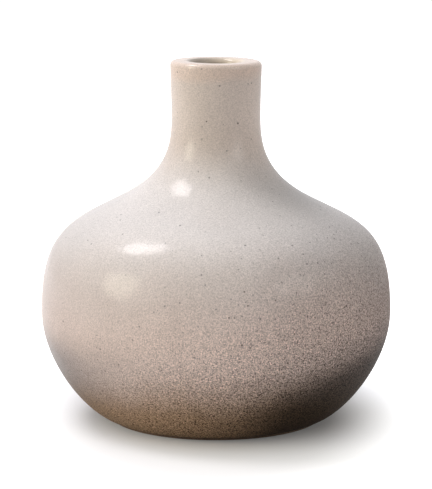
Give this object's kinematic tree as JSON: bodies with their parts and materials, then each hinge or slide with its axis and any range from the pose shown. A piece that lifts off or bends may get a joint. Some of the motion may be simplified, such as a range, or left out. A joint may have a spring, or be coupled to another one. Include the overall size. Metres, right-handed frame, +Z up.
{
  "type": "bud vase",
  "caption": "Wheel-thrown bud vase with a broad round belly, sloping shoulders, a short straight neck, a rounded lip and a turned foot ring.",
  "frame": {"origin": "centre of the foot ring's resting plane", "axes": "+Z up along the axis of the pot, from the foot to the lip; X and Y level, the pot is round about Z"},
  "size_m": [0.117, 0.117, 0.12],
  "materials": {
    "stoneware_clay": "bare fired stoneware, matt, fine grained, a little darker where the foot was wiped",
    "outer_glaze": "glossy speckled glaze, cream at the neck, beige and pinkish grey on the belly, dark brown near the foot, with fine iron specks",
    "liner_glaze": "satin warm ochre glaze on the inside",
    "base_glaze": "thin dark brown glaze in the recess of the foot"
  },
  "bodies": {
    "root": {"stoneware_body": "stoneware_clay", "outer_glaze": "outer_glaze", "liner_glaze": "liner_glaze", "base_glaze": "base_glaze"}
  },
  "joints": []
}
